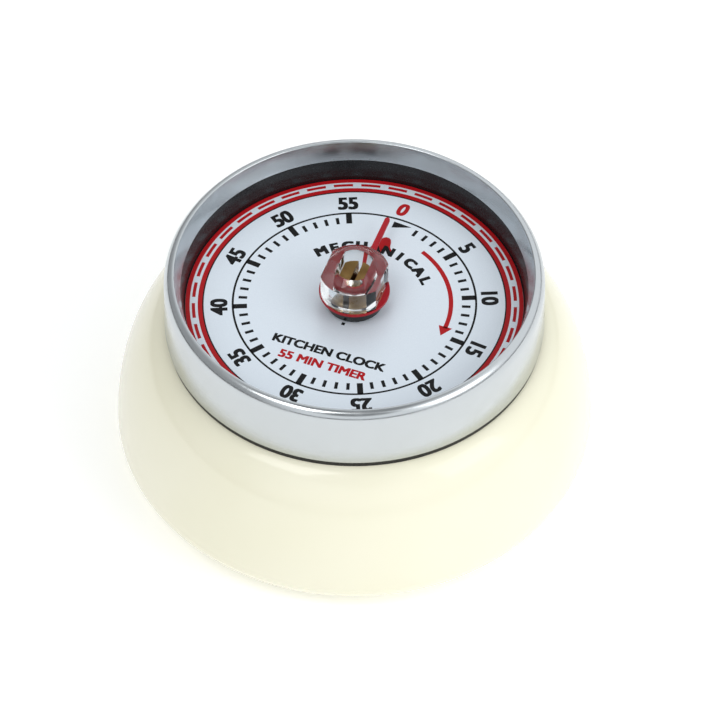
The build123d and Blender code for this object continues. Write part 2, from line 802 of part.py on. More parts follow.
def lifting_pin_place():
    """The pin's path crosses the star wheel's tip circle square on."""
    circle = star_tip_radius + release_gap + lifting_pin_radius
    to_third = third_axis - hammer_axis
    lean = math.degrees(math.asin(circle / to_third.length))
    reach = math.sqrt(to_third.length ** 2 - circle ** 2)
    return hammer_axis + polar(reach, angle_of(to_third) - lean)


def make_release_lever():
    """Arm that passes outside the cam, bent inwards to a finger that rides on it."""
    elbow = polar(cam_radius + release_elbow_rise, angle_of(release_tip()))
    outline = bar(hammer_axis, elbow, release_root_width, release_width)
    outline = outline + bar(elbow, release_tip(), release_width, finger_width)
    outline = outline + bar(hammer_axis, lifting_pin_place(), release_root_width, release_width)
    outline = outline - Circle(cam_radius + release_gap) - Pos(hammer_axis) * Circle(arbor_radius)
    outline = outline - Pos(lifting_pin_place()) * Circle(lifting_pin_radius)
    return slab(outline, cam_low, release_thickness)


def make_lifting_pin():
    return rod(lifting_pin_radius, star_low - lifting_pin_margin, release_top, lifting_pin_place())


def hammer_head_place():
    toward_centre = angle_of(Vector(0, 0) - hammer_axis)
    return hammer_axis + polar(hammer_arm_length, toward_centre + hammer_arm_turn)


def make_hammer_arbor():
    """Runs through the rear plate to carry the hammer arm over the bell's rim."""
    body = rod(arbor_radius, hammer_arm_low, bridge_low - end_shake, hammer_axis)
    return body + rod(pivot_radius, hammer_arm_low, bridge_low + bridge_thickness, hammer_axis)


def make_hammer_bridge():
    """Small bridge on a post of the rear plate; it carries the upper end of the hammer arbor."""
    outline = bar(hammer_axis, bridge_post, bridge_width, bridge_width)
    outline = outline - Pos(hammer_axis) * Circle(pivot_radius + running_fit)
    post = rod(pillar_radius, rear_plate_top, bridge_low, bridge_post)
    return slab(outline, bridge_low, bridge_thickness) + post + rod(
        pillar_tenon_radius, rear_plate_low, rear_plate_top, bridge_post)


def make_hammer_arm():
    outline = bar(hammer_axis, hammer_head_place(), hammer_arm_root_width, hammer_arm_width)
    outline = outline - Pos(hammer_axis) * Circle(arbor_radius)
    return slab(outline, hammer_arm_low, hammer_arm_thickness)


def make_hammer_head():
    return rod(hammer_head_radius, hammer_arm_low - hammer_head_height, hammer_arm_low, hammer_head_place())


def make_bell():
    """Pressed steel bell, open upwards, held at its middle."""
    outer_radius = bell_inner_radius + bell_wall
    body = rod(outer_radius, bell_low, bell_mouth)
    body = fillet(body.edges().sort_by(Axis.Z)[0], bell_rounding)
    hollow = rod(bell_inner_radius, bell_floor_top, bell_mouth)
    hollow = fillet(hollow.edges().sort_by(Axis.Z)[0], bell_rounding - bell_wall)
    return body - hollow - rod(bell_screw_radius + hole_clearance, bell_low, bell_mouth)


def make_bell_post():
    post = rod(bell_post_radius, bell_floor_top, rear_plate_low)
    return post - rod(bell_screw_radius, bell_low, bell_floor_top + bell_screw_length)


def make_bell_screw():
    head = rod(bell_screw_head_radius, bell_low - bell_screw_head_height, bell_low)
    return head + rod(bell_screw_radius, bell_low, bell_floor_top + bell_screw_length)


# ---- frame of the movement ----
def make_front_plate():
    plate = ring(plate_radius, shaft_radius + running_fit, front_plate_low, front_plate_top)
    plate = drill(plate, [second_axis, third_axis, escape_axis, anchor_axis], pivot_radius + running_fit)
    plate = drill(plate, pillar_places, pillar_tenon_radius)
    plate = drill(plate, screw_places, movement_screw_radius + hole_clearance)
    return drill(plate, [stop_pin], stop_pin_radius)


def make_rear_plate():
    plate = ring(plate_radius, main_pivot_radius + running_fit, rear_plate_low, rear_plate_top)
    plate = drill(plate, [second_axis, third_axis, escape_axis, anchor_axis], pivot_radius + running_fit)
    plate = drill(plate, [hammer_axis], arbor_radius + running_fit)
    plate = drill(plate, pillar_places + [bridge_post], pillar_tenon_radius)
    return drill(plate, [spring_post], spring_post_radius)


def make_plate_pillars():
    pillars = []
    for place in pillar_places:
        pillar = rod(pillar_radius, rear_plate_top, front_plate_low, place)
        pillar = pillar + rod(pillar_tenon_radius, rear_plate_low, front_plate_top, place)
        pillar = pillar + rod(pillar_radius, rear_plate_low - pillar_head_height, rear_plate_low, place)
        pillar = pillar + rod(pillar_radius, front_plate_top, front_plate_top + pillar_head_height, place)
        pillars.append(one_solid(pillar))
    return Compound(children=pillars)


def make_movement_screws():
    screws = []
    for place in screw_places:
        screw = rod(movement_screw_head_radius, front_plate_low - movement_screw_head_height,
                    front_plate_low, place)
        screws.append(one_solid(screw + rod(movement_screw_radius, front_plate_low, cup_floor_low, place)))
    return Compound(children=screws)


NODES = {
    "case_shell": make_case_shell,
    "bezel_ring": make_bezel_ring,
    "dial_cup": make_dial_cup,
    "dial_plate": make_dial_plate,
    "base_cover": make_base_cover,
    "base_screws": make_base_screws,
    "magnet_ring": make_magnet_ring,
    "magnet_yoke": make_magnet_yoke,
    "magnet_rivet": make_magnet_rivet,
    "clear_knob": make_clear_knob,
    "pointer_hand": make_pointer_hand,
    "pointer_hub": make_pointer_hub,
    "main_arbor": make_main_arbor,
    "main_wheel": make_main_wheel,
    "trip_cam": make_trip_cam,
    "ratchet_wheel": make_ratchet_wheel,
    "click": make_click,
    "click_rivet": make_click_rivet,
    "stop_arm": make_stop_arm,
    "stop_pin": make_stop_pin,
    "mainspring": make_mainspring,
    "spring_post": make_spring_post,
    "second_pinion": make_second_pinion,
    "second_wheel": make_second_wheel,
    "third_pinion": make_third_pinion,
    "third_wheel": make_third_wheel,
    "star_wheel": make_star_wheel,
    "escape_pinion": make_escape_pinion,
    "escape_wheel": make_escape_wheel,
    "pallet_anchor": make_pallet_anchor,
    "pallet_pins": make_pallet_pins,
    "anchor_arbor": make_anchor_arbor,
    "balance_bar": make_balance_bar,
    "release_lever": make_release_lever,
    "lifting_pin": make_lifting_pin,
    "hammer_arbor": make_hammer_arbor,
    "hammer_bridge": make_hammer_bridge,
    "hammer_arm": make_hammer_arm,
    "hammer_head": make_hammer_head,
    "bell": make_bell,
    "bell_post": make_bell_post,
    "bell_screw": make_bell_screw,
    "front_plate": make_front_plate,
    "rear_plate": make_rear_plate,
    "plate_pillars": make_plate_pillars,
    "movement_screws": make_movement_screws,
}

for name, make in NODES.items():
    part = make()
    part.label = name
    export_step(part, f"parts/{name}.step")
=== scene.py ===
import json
import math

import bmesh
import bpy
from mathutils import Matrix, Vector


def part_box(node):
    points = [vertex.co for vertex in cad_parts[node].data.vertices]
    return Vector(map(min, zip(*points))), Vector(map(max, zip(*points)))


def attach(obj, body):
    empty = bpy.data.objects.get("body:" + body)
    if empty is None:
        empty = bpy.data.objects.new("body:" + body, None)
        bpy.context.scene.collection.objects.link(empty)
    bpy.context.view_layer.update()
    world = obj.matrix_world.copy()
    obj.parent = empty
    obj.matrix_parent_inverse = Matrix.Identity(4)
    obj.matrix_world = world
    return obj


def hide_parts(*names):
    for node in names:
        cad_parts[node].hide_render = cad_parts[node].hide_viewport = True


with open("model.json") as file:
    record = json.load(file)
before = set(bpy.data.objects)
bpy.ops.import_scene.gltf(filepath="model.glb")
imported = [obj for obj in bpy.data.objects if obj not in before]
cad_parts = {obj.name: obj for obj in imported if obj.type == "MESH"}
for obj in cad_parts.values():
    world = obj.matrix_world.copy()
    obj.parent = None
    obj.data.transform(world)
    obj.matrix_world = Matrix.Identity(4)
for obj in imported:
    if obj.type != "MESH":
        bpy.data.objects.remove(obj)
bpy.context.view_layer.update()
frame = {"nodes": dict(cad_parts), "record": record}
record = frame["record"]
nodes = frame["nodes"]

# Kitchen timer: painted steel case, chrome bezel, printed dial, red hand under a clear knob.
# All lengths in metres; angles in degrees, counterclockwise from +X seen from above.
MM = 0.001

# ---- sizes taken from the frame ----
case_low, case_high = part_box("case_shell")
bezel_low, bezel_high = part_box("bezel_ring")
dial_low, dial_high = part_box("dial_plate")
_, cup_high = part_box("dial_cup")
knob_low, knob_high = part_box("clear_knob")
hub_low, hub_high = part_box("pointer_hub")
DIAL_TOP = dial_high.z
DIAL_RADIUS = dial_high.x
BEZEL_RADIUS = bezel_high.x
BEZEL_TOP = bezel_high.z
CASE_RADIUS = case_high.x
DIAL_HOLE = 3.4 * MM
CUP_FOOT = 24.5 * MM           # inner radius of the black wall at the dial
LIP_RADIUS = 25.0 * MM         # inner radius where the black wall meets the bezel
ZERO_SHIFT = 6.25              # of the 0-minute line from +Y, clockwise
ZERO_MARK = 90 - ZERO_SHIFT
POINTER_REST = ZERO_MARK + 8   # the hand rests this far before the 0-minute line
DOME_EXPONENT = 1.8            # of the dome's curve; 2 would be an ellipse
FINE_TURN = 256                # faces round the large turned pieces


def polar(radius, angle, height=0.0):
    """Point at a radius and a direction in degrees."""
    return Vector((radius * math.cos(math.radians(angle)), radius * math.sin(math.radians(angle)), height))


# ---- nodes of a material ----
def colour(hex_value):
    """sRGB hex to the linear colour that a socket takes."""
    linear = []
    for start in (1, 3, 5):
        value = int(hex_value[start:start + 2], 16) / 255
        linear.append(value / 12.92 if value <= 0.04045 else ((value + 0.055) / 1.055) ** 2.4)
    return (*linear, 1.0)


def add_node(tree, kind, inputs=None, **settings):
    """Adds a node with its settings; an input is a value, or (node, output name) to link."""
    node = tree.nodes.new(kind)
    for key, value in settings.items():
        setattr(node, key, value)
    for key, value in (inputs or {}).items():
        if isinstance(value, tuple) and isinstance(value[0], bpy.types.Node):
            tree.links.new(value[0].outputs[value[1]], node.inputs[key])
        else:
            node.inputs[key].default_value = value
    return node


def new_material(name):
    """Material with an empty node tree."""
    material = bpy.data.materials.new(name)
    material.use_nodes = True
    tree = material.node_tree
    tree.nodes.clear()
    return material, tree


def finish_material(tree, sockets):
    """Adds the shader and the output."""
    shader = add_node(tree, "ShaderNodeBsdfPrincipled", sockets)
    add_node(tree, "ShaderNodeOutputMaterial", {"Surface": (shader, "BSDF")})


def grain(tree, size_mm, stretch=(1, 1, 1), detail=3.0):
    """Noise on object coordinates whose features are about size_mm across."""
    place = add_node(tree, "ShaderNodeTexCoord")
    mapping = add_node(tree, "ShaderNodeMapping", {"Vector": (place, "Object"), "Scale": stretch})
    return add_node(tree, "ShaderNodeTexNoise", {
        "Vector": (mapping, "Vector"), "Scale": 1 / (size_mm * MM), "Detail": detail})


def between(tree, noise, low, high):
    """The noise spread between two values."""
    return add_node(tree, "ShaderNodeMapRange", {
        "Value": (noise, "Fac"), "From Min": 0.3, "From Max": 0.7, "To Min": low, "To Max": high},
        interpolation_type="SMOOTHSTEP")


def relief(tree, noise, height_mm, strength):
    """Surface relief of a height in mm."""
    return add_node(tree, "ShaderNodeBump", {
        "Height": (noise, "Fac"), "Distance": height_mm * MM, "Strength": strength})


def two_tones(tree, noise, dark, light):
    """Colour that wanders between two tones."""
    mix = add_node(tree, "ShaderNodeMix", data_type="RGBA")
    factor = between(tree, noise, 0.0, 1.0)
    tree.links.new(factor.outputs["Result"], mix.inputs[0])
    mix.inputs[6].default_value = colour(dark)
    mix.inputs[7].default_value = colour(light)
    return mix


def enamel():
    """Stoved cream enamel, sprayed on drawn steel: glossy and even, with hardly any change of tone."""
    material, tree = new_material("cream_stoving_enamel")
    tone = grain(tree, 18, detail=1.0)
    finish_material(tree, {
        "Base Color": (two_tones(tree, tone, "#F3EFD6", "#F5F1DA"), 2), "Roughness": 0.26,
        "IOR": 1.5, "Specular IOR Level": 0.2, "Coat Weight": 0.55, "Coat Roughness": 0.06})
    return material


def chrome():
    """Chrome plate over a turned ring: bright, with fine polishing marks and faint smears."""
    material, tree = new_material("chrome_plate")
    marks = grain(tree, 0.5, (1, 1, 9))
    smear = grain(tree, 4)
    finish_material(tree, {
        "Base Color": colour("#C7CBCD"), "Metallic": 1.0,
        "Roughness": (between(tree, smear, 0.16, 0.27), "Result"),
        "Normal": (relief(tree, marks, 0.004, 0.35), "Normal")})
    return material


def cup_plastic():
    """Injection-moulded black ABS, semi-gloss, with the mould's fine texture."""
    material, tree = new_material("moulded_black_abs")
    texture = grain(tree, 0.3)
    finish_material(tree, {
        "Base Color": colour("#121214"), "IOR": 1.45,
        "Roughness": (between(tree, texture, 0.22, 0.34), "Result"),
        "Normal": (relief(tree, texture, 0.003, 0.15), "Normal")})
    return material


def base_plastic():
    """Black ABS base with a spark-eroded matt surface."""
    material, tree = new_material("eroded_black_abs")
    texture = grain(tree, 0.25)
    finish_material(tree, {
        "Base Color": (two_tones(tree, texture, "#161617", "#222224"), 2), "IOR": 1.53,
        "Roughness": (between(tree, texture, 0.5, 0.66), "Result"),
        "Normal": (relief(tree, texture, 0.02, 0.6), "Normal")})
    return material


def dial_lacquer():
    """Silver-blue lacquer on an aluminium dial: satin, with a very fine metallic grain."""
    material, tree = new_material("silver_dial_lacquer")
    flake = grain(tree, 0.12)
    finish_material(tree, {
        "Base Color": (two_tones(tree, flake, "#DDE6EF", "#E2EBF3"), 2), "Metallic": 0.1,
        "Roughness": (between(tree, flake, 0.32, 0.42), "Result"), "IOR": 1.5})
    return material


def printing_ink(name, hex_value):
    """Screen-printed ink: a thin, slightly uneven satin film."""
    material, tree = new_material(name)
    film = grain(tree, 0.2)
    finish_material(tree, {
        "Base Color": colour(hex_value), "Roughness": (between(tree, film, 0.4, 0.55), "Result"),
        "Specular IOR Level": 0.2, "Normal": (relief(tree, film, 0.002, 0.2), "Normal")})
    return material


def red_lacquer():
    """Red lacquer on the stamped hand: smooth, with a soft sheen."""
    material, tree = new_material("red_hand_lacquer")
    film = grain(tree, 0.5)
    finish_material(tree, {
        "Base Color": colour("#A8101F"), "Roughness": (between(tree, film, 0.35, 0.45), "Result"),
        "Specular IOR Level": 0.25,
        "Normal": (relief(tree, film, 0.003, 0.4), "Normal")})
    return material


def acrylic():
    """Polished clear acrylic: index 1.49, with the faint waviness of a moulded block."""
    material, tree = new_material("clear_acrylic")
    wave = grain(tree, 1.5)
    finish_material(tree, {
        "Base Color": colour("#FBFDFD"), "Roughness": 0.03, "IOR": 1.49, "Transmission Weight": 1.0,
        "Normal": (relief(tree, wave, 0.004, 0.25), "Normal")})
    return material


def metal(name, dark, light, roughness, grain_mm, stretch, height_mm):
    """A bare metal whose working marks run one way."""
    material, tree = new_material(name)
    marks = grain(tree, grain_mm, stretch)
    tone = grain(tree, 3)
    finish_material(tree, {
        "Base Color": (two_tones(tree, tone, dark, light), 2), "Metallic": 1.0,
        "Roughness": (between(tree, marks, roughness - 0.07, roughness + 0.07), "Result"),
        "Normal": (relief(tree, marks, height_mm, 0.5), "Normal")})
    return material


def ferrite():
    """Sintered ferrite: dark grey ceramic, granular and dull."""
    material, tree = new_material("sintered_ferrite")
    grit = grain(tree, 0.2)
    finish_material(tree, {
        "Base Color": (two_tones(tree, grit, "#2A2A2C", "#3B3B3E"), 2),
        "Roughness": (between(tree, grit, 0.6, 0.8), "Result"),
        "Normal": (relief(tree, grit, 0.01, 0.7), "Normal")})
    return material


FINISHES = {
    "cream_enamel": enamel(),
    "chrome_plate": chrome(),
    "black_plastic": cup_plastic(),
    "base_plastic": base_plastic(),
    "dial_paint": dial_lacquer(),
    "clear_acrylic": acrylic(),
    "red_paint": red_lacquer(),
    # turned brass: rings of tool marks round the arbor
    "turned_brass": metal("turned_brass", "#7C6038", "#A08250", 0.40, 0.15, (1, 1, 6), 0.006),
    # rolled brass sheet, blanked and deburred
    "wheel_brass": metal("rolled_brass", "#C6A052", "#D8B568", 0.26, 0.3, (8, 1, 1), 0.003),
    # rolled steel sheet with a nickel flash
    "plate_steel": metal("nickelled_steel", "#B4B4B0", "#C4C4C0", 0.30, 0.3, (8, 1, 1), 0.003),
    # turned and polished arbor steel
    "turned_steel": metal("polished_steel", "#A9ABAE", "#BDBFC2", 0.20, 0.1, (1, 1, 6), 0.002),
    # tempered spring steel, blued by heat
    "spring_steel": metal("blued_spring_steel", "#39425C", "#4A5570", 0.30, 0.3, (1, 1, 6), 0.002),
    # zinc plate, dull and faintly mottled
    "zinc_steel": metal("zinc_plate", "#A6A8AB", "#BCBEC2", 0.38, 0.5, (1, 1, 1), 0.004),
    # nickel-plated pressed bell
    "bell_steel": metal("nickel_plate", "#CBC7BC", "#D6D2C8", 0.18, 0.4, (1, 1, 5), 0.002),
    "ferrite": ferrite(),
}
BLACK_INK = printing_ink("black_screen_ink", "#0C0C0E")
RED_INK = printing_ink("red_screen_ink", "#B01018")


# ---- pieces ----
def add_piece(name, mesh_maker, material, body, replaces=(), sharp_angle=40):
    """Turns a bmesh into a finished piece that rides on a body."""
    bmesh.ops.recalc_face_normals(mesh_maker, faces=mesh_maker.faces)
    mesh = bpy.data.meshes.new(name)
    mesh_maker.to_mesh(mesh)
    mesh_maker.free()
    for polygon in mesh.polygons:
        polygon.use_smooth = True
    mesh.set_sharp_from_angle(angle=math.radians(sharp_angle))
    mesh.materials.append(material)
    piece = bpy.data.objects.new(name, mesh)
    bpy.context.scene.collection.objects.link(piece)
    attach(piece, body)
    if replaces:
        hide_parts(*replaces)
    return piece


def spun(profile, steps):
    """Closed outline of (radius, height, rounding) turned once about Z."""
    shape = bmesh.new()
    verts = [shape.verts.new((radius, 0, height)) for radius, height, _ in profile]
    for here, there in zip(verts, verts[1:] + verts[:1]):
        shape.edges.new((here, there))
    for vert, (_, _, rounding) in zip(verts, profile):
        if rounding:
            bmesh.ops.bevel(shape, geom=[vert], offset=rounding, offset_type="OFFSET", segments=5,
                            profile=0.5, affect="VERTICES", material=-1)
    bmesh.ops.spin(shape, geom=shape.verts[:] + shape.edges[:], cent=(0, 0, 0), axis=(0, 0, 1),
                   angle=math.tau, steps=steps, use_merge=True)
    bmesh.ops.remove_doubles(shape, verts=shape.verts, dist=1e-7)
    return shape


def dome_curve(turn, width, height):
    """Point on the dome's curve, outward and upward, at a turn from the vertical."""
    power = 2 / DOME_EXPONENT
    outward = math.sin(math.radians(turn)) ** power
    upward = max(math.cos(math.radians(turn)), 0.0) ** power
    return width * outward, height * upward


def make_case():
    """Drawn steel shell in one turned outline: foot, swelling side, dome and neck."""
    widest = 6.0 * MM
    wall = 0.8 * MM
    neck = 27.0 * MM
    foot = 26.3 * MM
    rim = 25.6 * MM
    opening = 22.6 * MM
    flange = 1.2 * MM
    outline = []
    for turn in range(-90, 0, 6):
        outline.append((foot + (CASE_RADIUS - foot) * math.cos(math.radians(turn)),
                        widest + (widest - case_low.z) * math.sin(math.radians(turn)), 0))
    for turn in range(90, -1, -5):
        outward, upward = dome_curve(turn, CASE_RADIUS - neck, case_high.z - widest)
        outline.append((neck + outward, widest + upward, 0))
    outline.append((opening, case_high.z, 0))
    outline.append((opening, case_high.z - wall, 0))
    for turn in range(0, 91, 10):
        outward, upward = dome_curve(turn, CASE_RADIUS - neck - wall, case_high.z - wall - widest)
        outline.append((neck + outward, widest + upward, 0))
    for turn in range(-10, -91, -10):
        outline.append((foot + (CASE_RADIUS - foot - wall) * math.cos(math.radians(turn)),
                        widest + (widest - flange - wall) * math.sin(math.radians(turn)), 0))
    outline += [(opening, flange + wall, 0), (opening, flange, 0), (rim, flange, 0), (rim, case_low.z, 0)]
    add_piece("enamelled_case", spun(outline, FINE_TURN), FINISHES["cream_enamel"], "case",
              ["case_shell"])


def make_bezel():
    """Turned ring: straight wall, rounded over the crest, then a cone down to the lip inside."""
    skirt = 26.35 * MM
    crest = 26.0 * MM
    draft = 0.15 * MM
    shoulder = BEZEL_TOP - 1.9 * MM
    outer_width = BEZEL_RADIUS - draft - crest
    outline = [(skirt, bezel_low.z, 0), (BEZEL_RADIUS, bezel_low.z, 0.2 * MM)]
    for turn in range(0, 91, 10):
        outline.append((crest + outer_width * math.cos(math.radians(turn)),
                        shoulder + (BEZEL_TOP - shoulder) * math.sin(math.radians(turn)), 0))
    outline.append((crest - 0.15 * MM, BEZEL_TOP, 0.12 * MM))
    outline += [(LIP_RADIUS, cup_high.z, 0), (skirt, cup_high.z, 0)]
    add_piece("chrome_bezel", spun(outline, FINE_TURN), FINISHES["chrome_plate"], "case",
              ["bezel_ring"])


def make_cup():
    """Black wall between the dial and the bezel; its floor carries the dial. Its flange at its widest
    radius fills the gap under the bezel with black plastic, as painted shade of that gap.
    """
    floor = 27.2 * MM
    skirt = 26.3 * MM
    outline = [
        (DIAL_HOLE, floor, 0), (CUP_FOOT, floor, 0), (CUP_FOOT, case_high.z, 0),
        # flange at the widest radius, from the case's neck up to the bezel: black band standing in for the
        # shade in the gap under the bezel (painted shade)
        (cup_high.x, case_high.z, 0), (cup_high.x, bezel_low.z, 0), (skirt, bezel_low.z, 0),
        (skirt, cup_high.z, 0),
        (LIP_RADIUS, cup_high.z, 0.1 * MM), (CUP_FOOT, DIAL_TOP, 0), (CUP_FOOT, dial_low.z, 0),
        (DIAL_HOLE, dial_low.z, 0)]
    add_piece("black_cup", spun(outline, FINE_TURN), FINISHES["black_plastic"], "case",
              ["dial_cup"])


def make_dial():
    """Flat disc with slightly eased edges."""
    eased = 0.03 * MM
    outline = [(DIAL_HOLE, dial_low.z, 0), (DIAL_RADIUS, dial_low.z, 0), (DIAL_RADIUS, DIAL_TOP, eased),
               (DIAL_HOLE, DIAL_TOP, eased)]
    add_piece("dial_disc", spun(outline, FINE_TURN), FINISHES["dial_paint"], "case",
              ["dial_plate"])


# ---- print on the dial: thin films of ink ----
INK_LOW = DIAL_TOP
INK_HIGH = DIAL_TOP + 0.012 * MM
# radii and widths of the print in mm
SCALE_CIRCLE = (17.4, 17.7)
THIN_CIRCLE = (21.75, 21.95)
OUTER_BAND = (23.75, 24.38)
INNER_BAND = (21.95, 22.6)
DASHES = (22.98, 23.45)
TICK_FOOT = 15.5
MINUTE_TICK = (16.75, 0.48)    # end and width
FIVE_TICK = (17.55, 0.85)
ARROW_SHAFT = (13.6, 14.25)
NUMERAL_RADIUS = 19.4
UPPER_RADIUS = 11.0
BELL_RADIUS = 12.1
LINE_RADII = (10.4, 12.9)      # of the two lines of words below the middle
INK_EDGE = 30                  # corners sharper than this stay sharp
NUMERAL = {"size": 3.3, "weight": 0.3, "stretch": 0.92}
WORDS = {"size": 2.0, "weight": 0.2, "stretch": 1.08}
UPPER_WORD = {"size": 2.2, "weight": 0.34, "stretch": 1.1}


def ink_arc(shape, inner, outer, start, sweep):
    """Film between two radii in mm, swept clockwise from start, in degrees from the 0-minute line."""
    corners = [(inner, INK_LOW), (outer, INK_LOW), (outer, INK_HIGH), (inner, INK_HIGH)]
    begin = ZERO_MARK - start
    verts = [shape.verts.new(polar(radius * MM, begin, height)) for radius, height in corners]
    face = shape.faces.new(verts)
    steps = max(2, round(sweep / 1.5))
    bmesh.ops.spin(shape, geom=[face], cent=(0, 0, 0), axis=(0, 0, 1), angle=-math.radians(sweep),
                   steps=steps)


def ink_ring(shape, inner, outer):
    """Film between two radii in mm, all the way round."""
    corners = [(inner, INK_LOW), (outer, INK_LOW), (outer, INK_HIGH), (inner, INK_HIGH)]
    verts = [shape.verts.new((radius * MM, 0, height)) for radius, height in corners]
    edges = [shape.edges.new((verts[i], verts[i - 1])) for i in range(4)]
    bmesh.ops.spin(shape, geom=verts + edges, cent=(0, 0, 0), axis=(0, 0, 1), angle=math.tau,
                   steps=240, use_merge=True)


def ink_shape(shape, corners):
    """Film with a straight-sided outline."""
    face = shape.faces.new([shape.verts.new((*corner, INK_LOW)) for corner in corners])
    lifted = bmesh.ops.extrude_face_region(shape, geom=[face], use_keep_orig=True)
    for item in lifted["geom"]:
        if isinstance(item, bmesh.types.BMVert):
            item.co.z = INK_HIGH


def ink_block(shape, minute_angle, inner, outer, width):
    """Radial tick of a constant width."""
    across = polar(width / 2 * MM, ZERO_MARK - minute_angle + 90)
    near = polar(inner * MM, ZERO_MARK - minute_angle)
    far = polar(outer * MM, ZERO_MARK - minute_angle)
    ink_shape(shape, [(near - across).xy, (far - across).xy, (far + across).xy, (near + across).xy])


def ink_text(shape, words, centre, turn, size, weight, stretch, slant=0.0):
    """Printed words turned so that their top points along turn + 90; size in mm.

    The strokes are thickened by the weight, in mm, with nine copies set over that width.
    """
    curve = bpy.data.curves.new("words", "FONT")
    curve.body = words
    curve.size = size * MM
    curve.extrude = (INK_HIGH - INK_LOW) / 2
    curve.align_x = "CENTER"
    curve.align_y = "CENTER"
    curve.shear = slant
    curve.resolution_u = 6
    holder = bpy.data.objects.new("words", curve)
    mesh = bpy.data.meshes.new_from_object(holder)
    turned = Matrix.Rotation(math.radians(turn), 4, "Z")
    mesh.transform(turned @ Matrix.Diagonal((stretch, 1, 1, 1)))
    for i in range(9):
        shift = turned @ Vector((i % 3 - 1, (i // 3 - 1) * 0.6, 0)) * weight / 2 * MM
        shift.z = i * 0.0005 * MM
        middle = Vector((centre.x, centre.y, (INK_LOW + INK_HIGH) / 2)) + shift
        copy = mesh.copy()
        copy.transform(Matrix.Translation(middle))
        shape.from_mesh(copy)
        bpy.data.meshes.remove(copy)
    bpy.data.meshes.remove(mesh)
    bpy.data.objects.remove(holder)
    bpy.data.curves.remove(curve)


def arc_words(shape, words, radius, middle, spacing, style):
    """Letters along an arc, spaced in degrees, with their feet towards the centre."""
    for i, letter in enumerate(words):
        direction = ZERO_MARK - middle - (i - (len(words) - 1) / 2) * spacing
        ink_text(shape, letter, polar(radius * MM, direction), direction - 90, **style)


def make_black_print():
    """Scale, numerals, start wedge, two lines of words and the spot below the shaft."""
    shape = bmesh.new()
    ink_ring(shape, *THIN_CIRCLE)
    ink_ring(shape, *SCALE_CIRCLE)
    for minute in range(1, 56):
        end, width = MINUTE_TICK if minute % 5 else FIVE_TICK
        ink_block(shape, minute * 6, TICK_FOOT, end, width)
    for minute in range(5, 60, 5):
        direction = ZERO_MARK - minute * 6
        ink_text(shape, str(minute), polar(NUMERAL_RADIUS * MM, direction), direction - 90, **NUMERAL)
    wedge = ((15.65, 7), (16.9, 7), (16.85, -2.5))
    ink_shape(shape, [polar(radius * MM, ZERO_MARK + angle).xy for radius, angle in wedge])
    arc_words(shape, "MECHANICAL", UPPER_RADIUS, -ZERO_SHIFT, 10.4, UPPER_WORD)
    ink_text(shape, "KITCHEN CLOCK", polar(LINE_RADII[0] * MM, -90), 0, **WORDS)
    spot = ((-0.25, -4.75), (0.25, -4.75), (0.25, -4.25), (-0.25, -4.25))
    ink_shape(shape, [(x * MM, y * MM) for x, y in spot])
    add_piece("black_print", shape, BLACK_INK, "case", sharp_angle=INK_EDGE)


def make_red_print():
    """Two bands with dashes between them, the turning arrow, the 0, a line of words and the bell."""
    shape = bmesh.new()
    ink_ring(shape, *OUTER_BAND)
    ink_ring(shape, *INNER_BAND)
    for dash in range(36):
        ink_arc(shape, *DASHES, 1.5 - ZERO_SHIFT + dash * 10, 7)
    ink_arc(shape, *ARROW_SHAFT, 18, 66)
    head = ((12.9, -83), (14.95, -83), (13.9, -90.5))
    ink_shape(shape, [polar(radius * MM, ZERO_MARK + angle).xy for radius, angle in head])
    ink_text(shape, "0", polar(NUMERAL_RADIUS * MM, 90), 0, **NUMERAL, slant=0.15)
    ink_text(shape, "55 MIN TIMER", polar(LINE_RADII[1] * MM, -90), 0, **WORDS)
    make_bell_mark(shape)
    add_piece("red_print", shape, RED_INK, "case", sharp_angle=INK_EDGE)


def make_bell_mark(shape):
    """Small bell as a plain sign for the alarm."""
    centre = polar(BELL_RADIUS * MM, 90)
    flare = ((0.25, 1.45), (0.6, 1.2), (0.85, 0.6), (1.0, -0.2), (1.45, -0.8), (1.45, -1.05))
    half = [(width * MM, height * MM) for width, height in flare]
    right = [(centre.x + x, centre.y + y) for x, y in half]
    left = [(centre.x - x, centre.y + y) for x, y in reversed(half)]
    ink_shape(shape, right + left)
    bmesh.ops.create_circle(shape, cap_ends=True, segments=20, radius=0.38 * MM,
                            matrix=Matrix.Translation((centre.x, centre.y - 1.35 * MM, INK_HIGH)))


# ---- knob ----
def outline_loop(radius, half_flat, height):
    """Edges of a circle with two flats along the hand."""
    shape = bmesh.new()
    bmesh.ops.create_circle(shape, cap_ends=True, segments=96, radius=radius,
                            matrix=Matrix.Translation((0, 0, height)))
    for side in (1, -1):
        geometry = shape.verts[:] + shape.edges[:] + shape.faces[:]
        bmesh.ops.bisect_plane(shape, geom=geometry, plane_co=(0, side * half_flat, 0),
                               plane_no=(0, side, 0), clear_outer=True)
    bmesh.ops.delete(shape, geom=shape.faces[:], context="FACES_ONLY")
    return shape


